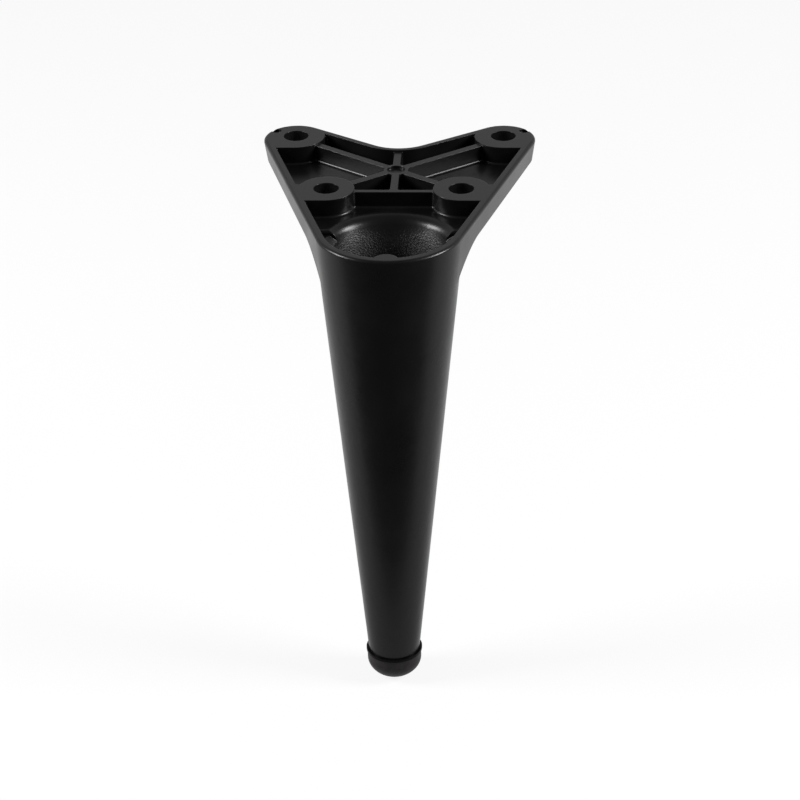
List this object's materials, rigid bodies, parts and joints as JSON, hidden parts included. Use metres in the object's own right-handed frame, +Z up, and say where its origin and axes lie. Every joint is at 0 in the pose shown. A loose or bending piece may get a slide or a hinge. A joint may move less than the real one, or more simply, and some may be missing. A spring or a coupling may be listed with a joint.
{
  "type": "furniture leg",
  "caption": "Tapered round cast furniture leg that leans outwards, with an arrow-shaped ribbed fixing head for screws and a domed push-in plastic glide.",
  "frame": {"origin": "middle of the glide's flat land, where the leg stands on the floor", "axes": "+Z up from the floor to the mounting face, +Y back towards the head's two rear lobes, +X to the right seen from the front"},
  "size_m": [0.0914, 0.1176, 0.15],
  "materials": {
    "leg_casting": "satin black powder coat on die-cast aluminium",
    "glide": "fine matt moulded plastic, dark grey-black"
  },
  "bodies": {
    "root": {"leg_casting": "leg_casting", "glide": "glide"}
  },
  "joints": []
}
